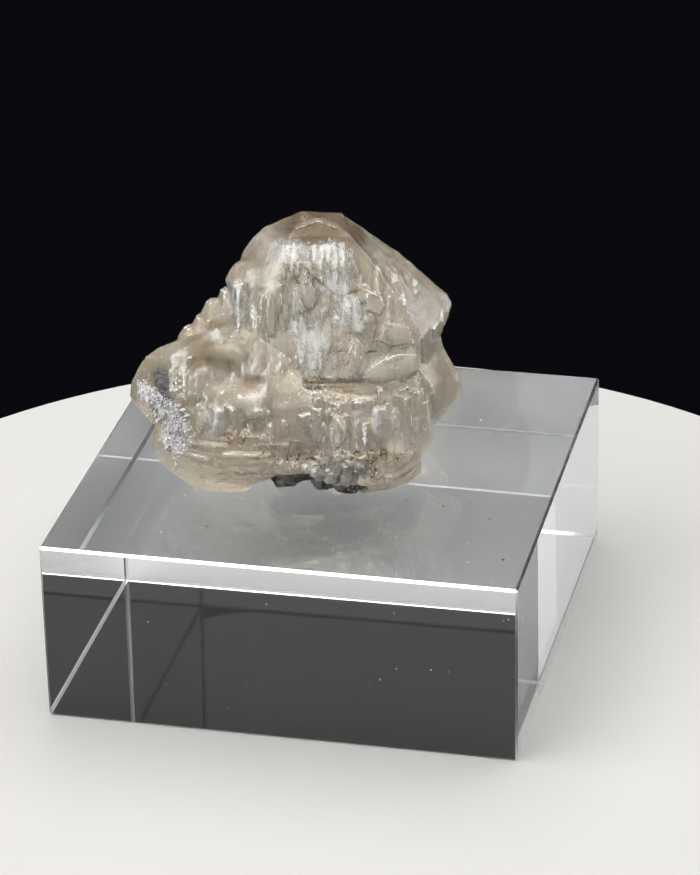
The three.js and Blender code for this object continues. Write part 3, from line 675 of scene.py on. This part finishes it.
# only what hangs together with the highest point stays
def dropStrays(piece):
    heights = inCrystalFrame(piece)[:, 2]
    pick(piece)
    bpy.ops.object.mode_set(mode="EDIT")
    bpy.ops.mesh.select_mode(type="VERT")
    bpy.ops.mesh.select_all(action="DESELECT")
    bpy.ops.object.mode_set(mode="OBJECT")
    piece.data.vertices[int(heights.argmax())].select = True
    bpy.ops.object.mode_set(mode="EDIT")
    bpy.ops.mesh.select_linked()
    bpy.ops.mesh.select_all(action="INVERT")
    bpy.ops.mesh.delete(type="VERT")
    bpy.ops.object.mode_set(mode="OBJECT")


def lathTemplate(settings):
    deselectAll()
    bpy.ops.mesh.primitive_cube_add(size=1)
    lath = bpy.context.object
    editFaces(lath, lambda normal: normal.y > 0.9)
    bpy.ops.transform.resize(value=(settings["face"][0], 1, settings["face"][1]))
    bpy.ops.object.mode_set(mode="OBJECT")
    return lath


def growLaths(skin, settings, bare):
    picked = np.random.default_rng(settings["seed"])
    spots, outward = skinSpots(skin, settings["count"], picked, settings["zones"])
    up = outward[:, 2]
    fit = (np.abs(up) < settings["steepest"]) & (up > settings["lowest"]) & (zoneWeight(spots, bare) < 0.5)
    spots, outward = spots[fit], outward[fit]
    looks = np.radians(settings["looks"])
    facing = np.arctan2(outward[:, 1], outward[:, 0])
    turned = np.angle(np.exp(1j * (facing[:, None] - looks[None, :])))
    nearest = np.abs(turned).argmin(axis=1)
    astray = np.abs(turned)[np.arange(len(spots)), nearest]
    slope = np.abs(outward[:, 2]) / np.hypot(outward[:, 0], outward[:, 1])
    widest = settings["step"] / np.maximum(np.tan(astray), 0.01)
    longest = settings["step"] / np.maximum(slope, 0.01)
    across = np.minimum(picked.uniform(*settings["across"], len(spots)), widest)[:, None]
    along = np.minimum(picked.uniform(*settings["along"], len(spots)), longest)[:, None]
    look = np.stack((np.cos(looks[nearest]), np.sin(looks[nearest]), np.zeros(len(spots))), axis=1)
    upright = np.array((0, 0, 1))
    sides = np.stack((np.cross(look, upright) * across, look * settings["deep"], upright * along), axis=1)
    proud = picked.uniform(*settings["proud"], len(spots))[:, None]
    middles = spots + look * (proud - settings["deep"] / 2)
    return strew("laths", lathTemplate(settings), middles, sides, picked)


# where a skin is met from the front, and how it runs to the back there along X and along Z, up to `most`
def fromFront(skin, x, z, most=1.2):
    hit, outward = skin.ray_cast(Vector((x, -40, z)), Vector((0, 1, 0)))[:2]
    if hit is None:
        return None, 0, 0
    return np.array(hit), *(max(-most, min(most, -side / outward.y)) for side in (outward.x, outward.z))


def windowTemplate(settings):
    deselectAll()
    bpy.ops.mesh.primitive_cylinder_add(vertices=10, radius=0.5, depth=1, rotation=(math.radians(90), 0, 0))
    window = bpy.context.object
    bpy.ops.object.transform_apply(location=True, rotation=True, scale=True)
    editFaces(window, lambda normal: normal.y < -0.9)
    bpy.ops.transform.resize(value=(settings["face"], 1, settings["face"] ** 0.5))
    bpy.ops.object.mode_set(mode="OBJECT")
    return window


def growWindows(skin, settings):
    middles, sides = [], []
    for x, z, across, along, proud in settings["places"]:
        spot, runX, runZ = fromFront(skin, x, z)
        if spot is not None:
            middles.append(spot + (0, settings["deep"] / 2 - proud, 0))
            sides.append(((across, runX * across, 0), (0, settings["deep"], 0), (0, runZ * along, along)))
    picked = np.random.default_rng(settings["seed"])
    return strew("windows", windowTemplate(settings), np.array(middles), np.array(sides), picked)


def growLens(skin, settings):
    x, z = settings["place"]
    spot = fromFront(skin, x, z)[0]
    deselectAll()
    bpy.ops.mesh.primitive_uv_sphere_add(segments=32, ring_count=16, radius=1)
    turn = np.array(Matrix.Rotation(math.radians(settings["tilt"]), 3, "Y"))
    sides = (turn @ np.diag(settings["half"])).T
    picked = np.random.default_rng(settings["seed"])
    return strew("lens", bpy.context.object, spot[None, :], sides[None, :, :], picked)


cerussiteSet = {
    "honey": (0.83, 0.70, 0.50),
    "pale": (0.89, 0.84, 0.74),
    "deep": (0.50, 0.40, 0.27),
    "amber": (0.19, 0.125, 0.07),
    "olive": (0.25, 0.21, 0.135),
    "ash": (0.27, 0.26, 0.25),
    "frostAndHighlight": (0.87, 0.93, 1.0),
    "rust": (0.38, 0.21, 0.08),
    "soot": (0.11, 0.11, 0.11),
    "ior": 1.8,
    "specular": 0.4,
    "gloss": 0.15,
    "glossRoughness": 0.06,
    "pitHeight": 0.03,  # mm
    "grainHeight": 0.012,
    "scatterDepth": 3,
    # where a colour is laid over the ones before it, which one, and how much of it
    "tints": (
        # the crease tint is painted shade in the hollows, and the rim tint a painted highlight on sharp
        # rims
        ("crease", "deep", 0.5), ("rim", "frostAndHighlight", 0.7), ("tan", "olive", 0.3), ("brown", "olive", 0.75),
        ("amber", "amber", 0.95),
    ),
    # transmission, roughness, height of the fine striae in mm, and the colour of the shine
    "finishes": {
        "cerussite": (0.9, 0.13, 0.04, (1.0, 1.0, 1.0, 1)),
        "cerussiteFrostedAndHighlit": (0.6, 0.24, 0.08, (1.0, 1.0, 1.0, 1)),
        "cerussiteStained": (0.88, 0.16, 0.02, (0.30, 0.24, 0.18, 1)),
        "cerussiteClean": (0.72, 0.2, 0.0, (1.0, 1.0, 1.0, 1)),
    },
}


def cerussiteMaterial(name, settings):
    transmission, roughness, striaeHeight, shine = settings["finishes"][name]
    nodes = Nodes(name)
    clouds = nodes.noise(6, detail=3)
    colour = nodes.mix(nodes.ramp(clouds, 0.35, 0.65), settings["honey"], settings["pale"])
    veils = nodes.noise(0.55, stretch=(1, 1, 12), detail=3, roughness=0.6)
    colour = nodes.mix(nodes.ramp(veils, 0.5, 0.68, 0, 0.3), colour, settings["deep"])
    colour = nodes.mix(nodes.ramp(veils, 0.45, 0.3, 0, 0.3), colour, settings["frostAndHighlight"])
    for where, tint, share in settings["tints"]:
        colour = nodes.mix(nodes.math("MULTIPLY", nodes.attribute(where), share), colour, settings[tint])
    smoke = nodes.ramp(nodes.noise(0.8, stretch=(1.6, 1.6, 1), detail=3), 0.38, 0.62, 0.35, 0.85)
    colour = nodes.mix(nodes.math("MULTIPLY", nodes.attribute("ash"), smoke), colour, settings["ash"])
    layers = nodes.ramp(nodes.noise(0.3, stretch=(16, 16, 1), detail=3), 0.48, 0.6, 0, 0.5)
    colour = nodes.mix(nodes.math("MULTIPLY", nodes.attribute("layered"), layers), colour, settings["deep"])
    grain = nodes.noise(0.35, detail=4, roughness=0.65)
    streaks = nodes.noise(0.11, stretch=(1, 1, 18), detail=2)
    weft = nodes.noise(0.1, stretch=(16, 1, 1), detail=2)
    strokes = nodes.math("MAXIMUM", nodes.ramp(streaks, 0.46, 0.58, 0.15, 1),
                         nodes.ramp(weft, 0.56, 0.64, 0, 0.9))
    frostAndHighlight = nodes.math("MULTIPLY", nodes.attribute("frostAndHighlight"), strokes)
    colour = nodes.mix(frostAndHighlight, colour, settings["frostAndHighlight"])
    rust = nodes.math("MULTIPLY", nodes.attribute("rust"), nodes.ramp(grain, 0.42, 0.58))
    colour = nodes.mix(rust, colour, settings["rust"])
    soot = nodes.math("MULTIPLY", nodes.attribute("soot"), nodes.ramp(grain, 0.3, 0.55, 0.6, 1))
    colour = nodes.mix(soot, colour, settings["soot"])
    dull = nodes.math("MAXIMUM", nodes.math("MULTIPLY", frostAndHighlight, 0.3), nodes.math("MULTIPLY", rust, 0.4))
    uneven = nodes.ramp(nodes.noise(1.6, detail=3), 0.3, 0.75, roughness, roughness + 0.1)
    striae = nodes.noise(0.16, stretch=(1, 1, 22), detail=3, roughness=0.6)
    windows = nodes.cells(0.9, stretch=(0.7, 1, 3.2), output="Color")
    pits = nodes.cells(0.4, stretch=(1, 1, 2.6))
    normal = nodes.bump(striae, striaeHeight)
    normal = nodes.bump(windows, settings["pitHeight"], normal)
    normal = nodes.bump(pits, settings["pitHeight"], normal)
    normal = nodes.bump(nodes.noise(0.12, detail=3), settings["grainHeight"], normal)
    still = nodes.math("MAXIMUM", nodes.attribute("amber"), nodes.attribute("calm"))
    gloss = nodes.ramp(still, 0, 1, settings["gloss"], 0)
    nodes.set(baseColor=colour, roughness=nodes.math("ADD", uneven, dull), normal=normal,
              ior=settings["ior"], specular=settings["specular"], shine=shine,
              coat=gloss, coatRoughness=settings["glossRoughness"], transmission=transmission,
              scatter=1.0, scatterRadius=(1.0, 0.8, 0.55), scatterScale=settings["scatterDepth"] * mm)
    return nodes.material


def painted(piece, name):
    weight = np.empty(len(piece.data.vertices), dtype=np.float32)
    piece.data.attributes[name].data.foreach_get("value", weight)
    return weight


def passes(weight, place, limit, ragged, waves):
    return weight > limit + ragged * noise.noise(Vector(place * waves))


# which faces take the frosted finish, which carries the frost and the painted highlights on streaks and
# sharp rims (slot 1), the stained one (slot 2) and the clean one (slot 3)
def finishFaces(piece, limits):
    frostAndHighlight, clean, rims = (painted(piece, name) for name in ("frostAndHighlight", "clean", "rim"))
    stain = np.maximum(painted(piece, "amber"), painted(piece, "calm"))
    places = inCrystalFrame(piece)
    for face in piece.data.polygons:
        first = face.vertices[0]
        if passes(frostAndHighlight[first], places[first], *limits["frostedAndHighlit"]):
            face.material_index = 1
        # sharp rims take the frosted finish as a painted highlight
        elif rims[list(face.vertices)].min() > rimSet["frostedAndHighlit"]:
            face.material_index = 1
        elif passes(stain[first], places[first], *limits["stained"]):
            face.material_index = 2
        elif clean[first] > limits["clean"]:
            face.material_index = 3


# joins the laths, the windows and the lens to the solid; the remesh then makes all of them one skin
def growForms(piece, bare):
    skin = BVHTree.FromPolygons([Vector(place) for place in inCrystalFrame(piece)],
                                [face.vertices[:] for face in piece.data.polygons])
    grown = [growLaths(piece, lathSet, bare), growWindows(skin, windowSet), growLens(skin, lensSet)]
    pick(piece)
    for part in grown:
        part.select_set(True)
    bpy.ops.object.join()
    piece.data.attributes.remove(piece.data.attributes["shade"])


def markZones(piece, settings):
    places = inCrystalFrame(piece)
    smooth = zoneWeight(places, settings["smooth"])
    banded = zoneWeight(places, settings["banded"])
    etched = settings["plain"] + (1 - settings["plain"]) * zoneWeight(places, settings["etched"])
    addZone(piece, "etched", etched * (1 - smooth) * (1 - settings["bandsEven"] * banded))
    addZone(piece, "striped", zoneWeight(places, settings["striped"]))
    addZone(piece, "ribbed", (1 - settings["smoothEven"] * smooth) * (1 - banded))
    addZone(piece, "banded", banded)
    addZone(piece, "crumbly", zoneWeight(places, settings["crumbly"]))
    seams = seamWeight(places, crystalSeams, seamSet["reach"])
    addZone(piece, "seams", seams)
    paint(piece, "layered", banded)
    for name, zones in crystalPaint.items():
        weight = zoneWeight(places, zones)
        # the raised seams get a painted highlight: a thin white line along them in the frost colour
        if name == "frostAndHighlight":
            weight = np.maximum(weight, seams * seamSet["frostAndHighlight"])
        if name == "soot":
            weight = np.maximum(weight, seamWeight(places, crystalCracks, seamSet["crackReach"]))
        paint(piece, name, weight)
    paint(piece, "clean", seamWeight(places, (lensSet["line"],), lensSet["wide"]))


def wearZones(piece, settings):
    places = inCrystalFrame(piece)
    for where, steps in settings["wear"].items():
        addZone(piece, where, zoneWeight(places, settings[where]))
        wear = piece.modifiers.new(where, "SMOOTH")
        wear.iterations = steps
        wear.vertex_group = where
        applyModifiers(piece)


def makeCrystal(settings):
    piece = copyOfNode("cerussite_crystal", "cerussite")
    growForms(piece, settings["smooth"] + settings["banded"])
    evenSkin(piece, settings["voxel"])
    for far, zone in settings["drawn"]:
        drawSkin(piece, far, zone)
    markZones(piece, settings)
    wearZones(piece, settings)
    for cut in settings["carving"]:
        carve(piece, *cut)
    raiseSeams(piece, seamSet)
    thinOut(piece, settings["triangles"])
    dropStrays(piece)
    piece.vertex_groups.clear()
    print("crystal", len(piece.data.polygons), "faces")
    bent = bentness(piece)
    # painted highlight: sharp rims are whitened with the frost colour
    paint(piece, "rim", np.clip(bent / rimSet["sharp"], 0, 1))
    # painted shade: concave creases are darkened toward the deep colour
    paint(piece, "crease", np.clip(bent / rimSet["hollow"], 0, 1))
    bpy.ops.object.shade_smooth_by_angle(angle=math.radians(settings["crease"]))
    piece.data.materials.clear()
    for finish in cerussiteSet["finishes"]:
        piece.data.materials.append(cerussiteMaterial(finish, cerussiteSet))
    finishFaces(piece, finishLimits)
    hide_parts("cerussite_crystal")
    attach(piece, "root")
    return piece


crystal = makeCrystal(crystalSet)
print("crystal ready")


# small grains that stand on the crystal

def prismTemplate():
    deselectAll()
    bpy.ops.mesh.primitive_cylinder_add(vertices=6, radius=0.5, depth=1)
    grain = bpy.context.object
    editFaces(grain, lambda normal: normal.z > 0.9)
    bpy.ops.mesh.inset(thickness=0.16)  # the blunt tip, in shares of the width
    bpy.ops.transform.translate(value=(0, 0, 0.22))
    bpy.ops.object.mode_set(mode="OBJECT")
    return grain


def crumbTemplate():
    deselectAll()
    bpy.ops.mesh.primitive_ico_sphere_add(subdivisions=1, radius=0.5)
    crumb = bpy.context.object
    bpy.ops.object.mode_set(mode="EDIT")
    bpy.ops.mesh.select_all(action="SELECT")
    bpy.ops.transform.vertex_random(offset=0.16, seed=4)
    bpy.ops.object.mode_set(mode="OBJECT")
    return crumb


# count, sizes in mm, height against width, how much they lean, how deep they are sunk, how ragged their
# patches are, and the zones that they grow in
grainSets = {
    "druse": {
        "template": prismTemplate, "count": 3200, "seed": 21, "size": (0.08, 0.21), "tall": (0.9, 1.6),
        "lean": 0.5, "sunk": 0.35, "slot": "cerussite", "finish": "druse", "ragged": 0,
        "zones": (
            (-16.7, -6.9, 9.2, 2.1, 2.8, 1.5), (-15.9, -7.6, 8.0, 1.7, 2.4, 1.5),
            (-16.3, -6.8, 6.2, 1.5, 2.2, 1.5), (-18.6, -4.0, 9.8, 1.5, 2.4, 0.9),
        ),
    },
    "strayDruse": {
        "template": prismTemplate, "count": 110, "seed": 26, "size": (0.08, 0.22), "tall": (0.8, 1.6),
        "lean": 0.5, "sunk": 0.4, "slot": "cerussite", "finish": "druse", "ragged": 1.1,
        "zones": (
            (-18.8, -3.6, 9.6, 1.4, 2.6, 2.6), (-15.8, -7.0, 4.0, 1.8, 2.4, 1.4),
            (-15.0, -7.8, 8.6, 1.2, 2.0, 2.4),
        ),
    },
    "knobs": {
        "template": crumbTemplate, "count": 80, "seed": 22, "size": (0.5, 1.8), "tall": (0.6, 1.0),
        "lean": 0.5, "sunk": 0.42, "slot": "cerussite", "finish": "knobs", "ragged": 0,
        "zones": ((0.4, -9.8, 3.2, 1.8, 1.5, 1.3), (3.0, -9.4, 3.4, 1.0, 1.2, 0.8)),
    },
    "ledgeCrumbs": {
        "template": crumbTemplate, "count": 260, "seed": 23, "size": (0.1, 0.34), "tall": (0.6, 1.2),
        "lean": 0.8, "sunk": 0.2, "slot": "cerussite", "finish": "paleCrumbs", "ragged": 1.3,
        "zones": (
            (-1.4, -9.0, 12.2, 1.6, 1.2, 0.4), (1.0, -9.4, 11.6, 1.8, 1.0, 0.35),
            (4.6, -9.0, 11.1, 2.6, 1.0, 0.22), (0.6, -9.8, 10.6, 0.6, 0.8, 0.7),
            (-0.8, -9.4, 2.6, 1.6, 1.4, 1.0),
        ),
    },
    "rustCrumbs": {
        "template": crumbTemplate, "count": 420, "seed": 24, "size": (0.07, 0.26), "tall": (0.5, 1.0),
        "lean": 0.8, "sunk": 0.2, "slot": "matrix", "finish": "rustCrumbs", "ragged": 1.7,
        "zones": (
            (-1.0, -7.8, 12.6, 1.4, 1.2, 0.3), (1.6, -7.4, 12.4, 1.6, 1.0, 0.25),
            (3.4, -9.8, 5.4, 1.4, 1.0, 0.3), (5.2, -9.2, 4.8, 1.3, 1.0, 0.3),
            (4.5, -9.4, 3.4, 0.3, 1.0, 1.2), (-2.6, -9.8, 5.8, 1.8, 1.0, 0.4),
            (-6.5, -10.2, 5.4, 2.2, 1.0, 0.5), (-9.4, -9.8, 7.2, 1.6, 0.8, 0.8),
            (7.0, -8.4, 4.0, 1.2, 1.0, 0.4),
        ),
    },
    "inclusion": {
        "template": crumbTemplate, "count": 260, "seed": 27, "size": (0.1, 0.34), "tall": (0.4, 0.8),
        "lean": 0.6, "sunk": 0.5, "slot": "matrix", "finish": "inclusion", "ragged": 0,
        "zones": ((-17.0, -5.9, 12.3, 0.9, 1.4, 1.0), (-16.4, -6.6, 11.2, 0.7, 1.0, 0.5)),
    },
    "grit": {
        "template": crumbTemplate, "count": 230, "seed": 25, "size": (0.08, 0.34), "tall": (0.5, 1.0),
        "lean": 0.8, "sunk": 0.2, "slot": "matrix", "finish": "grit", "ragged": 1.5,
        "zones": (
            (-3.0, -9.6, 4.8, 1.8, 1.2, 0.5), (0.4, -9.6, 3.0, 2.0, 1.2, 1.6),
            (3.8, -9.5, 4.8, 2.0, 1.2, 0.35), (-1.0, -8.0, 12.4, 1.6, 1.2, 0.4),
            (8.2, -7.8, 11.2, 0.5, 1.4, 0.6), (9.8, -5.4, 10.0, 0.6, 1.2, 0.6),
            (-17.0, -6.4, 9.9, 1.6, 1.8, 0.8),
        ),
    },
}

stoneIor = 1.5  # of the grains that let no light through
# low colour, high colour, transmission and roughness
grainFinishes = {
    "druse": ((0.34, 0.34, 0.36), (1.0, 1.0, 1.0), 0.3, 0.16),
    "knobs": ((0.62, 0.57, 0.50), (0.93, 0.89, 0.83), 0.78, 0.06),
    "paleCrumbs": ((0.50, 0.45, 0.37), (0.84, 0.81, 0.75), 0.4, 0.3),
    "rustCrumbs": ((0.035, 0.022, 0.014), (0.32, 0.20, 0.09), 0.0, 0.75),
    "inclusion": ((0.02, 0.02, 0.022), (0.15, 0.15, 0.17), 0.0, 0.45),
    "grit": ((0.012, 0.011, 0.010), (0.09, 0.08, 0.07), 0.0, 0.5),
}


def grainMaterial(name, low, high, transmission, roughness):
    nodes = Nodes(name)
    mottle = nodes.ramp(nodes.noise(0.15, detail=3), 0.35, 0.65, -0.2, 0.2)
    colour = nodes.mix(nodes.math("ADD", nodes.attribute("shade"), mottle), low, high)
    uneven = nodes.ramp(nodes.noise(0.3), 0.3, 0.7, roughness, roughness + 0.15)
    nodes.set(baseColor=colour, roughness=uneven, transmission=transmission,
              ior=cerussiteSet["ior"] if transmission else stoneIor,
              normal=nodes.bump(nodes.noise(0.08, detail=2), 0.01))
    return nodes.material


def unit(ways):
    return ways / np.linalg.norm(ways, axis=1)[:, None]


def growGrains(name, skin, settings):
    picked = np.random.default_rng(settings["seed"])
    spots, outward = skinSpots(skin, settings["count"], picked, settings["zones"], settings["ragged"])
    up = unit(outward + picked.normal(0, settings["lean"], outward.shape))
    aside = unit(np.cross(up, picked.normal(size=up.shape)))
    size = picked.uniform(*settings["size"], len(spots))[:, None]
    tall = size * picked.uniform(*settings["tall"], len(spots))[:, None]
    sides = np.stack((aside * size, np.cross(up, aside) * size, up * tall), axis=1)
    middles = spots + outward * tall * (0.5 - settings["sunk"])
    piece = strew(name, settings["template"](), middles, sides, picked)
    piece.data.materials.append(grainMaterial(name, *grainFinishes[settings["finish"]]))
    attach(piece, "root")


for name, settings in grainSets.items():
    growGrains(name, crystal, settings)
print("grains ready")


# the matrix rock

rockSet = {
    "voxel": 0.09,  # mm
    "bulk": {"grain": 1.6, "depth": 0.7},
    "grit": {"grain": 0.35, "depth": 0.25},
    "lift": 0.75,  # share of the relief that stands out, which closes the gap to the crystal
    "triangles": 60000,
    "crease": 40,  # degrees
    "dark": (0.022, 0.021, 0.02),
    "grey": (0.16, 0.155, 0.15),
    "brown": (0.12, 0.075, 0.045),
    "pale": (0.55, 0.52, 0.48),
}


def rockMaterial(settings):
    nodes = Nodes("matrixRock")
    patches = nodes.ramp(nodes.noise(0.9, detail=5, roughness=0.6), 0.38, 0.62)
    colour = nodes.mix(patches, settings["dark"], settings["grey"])
    colour = nodes.mix(nodes.ramp(nodes.noise(1.4, detail=3), 0.55, 0.7, 0, 0.7), colour, settings["brown"])
    specks = nodes.ramp(nodes.cells(0.3, distance="EUCLIDEAN"), 0.28, 0.16)
    strewn = nodes.ramp(nodes.noise(1.1), 0.5, 0.6)
    colour = nodes.mix(nodes.math("MULTIPLY", specks, strewn), colour, settings["pale"])
    nodes.set(baseColor=colour, roughness=nodes.ramp(nodes.noise(0.4), 0.3, 0.7, 0.55, 0.9),
              normal=nodes.bump(nodes.noise(0.15, detail=4, roughness=0.65), 0.06))
    return nodes.material


def makeRock(settings):
    piece = copyOfNode("matrix_remnant", "matrixRock")
    lowest = inCrystalFrame(piece)[:, 2].min()
    evenSkin(piece, settings["voxel"])
    for part in ("bulk", "grit"):
        texture = bpy.data.textures.new(part, "CLOUDS")
        texture.noise_scale = settings[part]["grain"] * mm
        texture.noise_depth = 3
        displace = piece.modifiers.new(part, "DISPLACE")
        displace.texture = texture
        displace.texture_coords = "LOCAL"
        displace.strength = settings[part]["depth"] * mm
        displace.mid_level = 1 - settings["lift"]
        applyModifiers(piece)
    places = inCrystalFrame(piece)
    places[:, 2] = np.maximum(places[:, 2], lowest)
    piece.data.vertices.foreach_set("co", outOfCrystalFrame(places).ravel())
    thinOut(piece, settings["triangles"])
    bpy.ops.object.shade_smooth_by_angle(angle=math.radians(settings["crease"]))
    piece.data.materials.append(rockMaterial(settings))
    print("rock", len(piece.data.polygons), "faces")
    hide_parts("matrix_remnant")
    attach(piece, "root")


makeRock(rockSet)
print("rock ready")
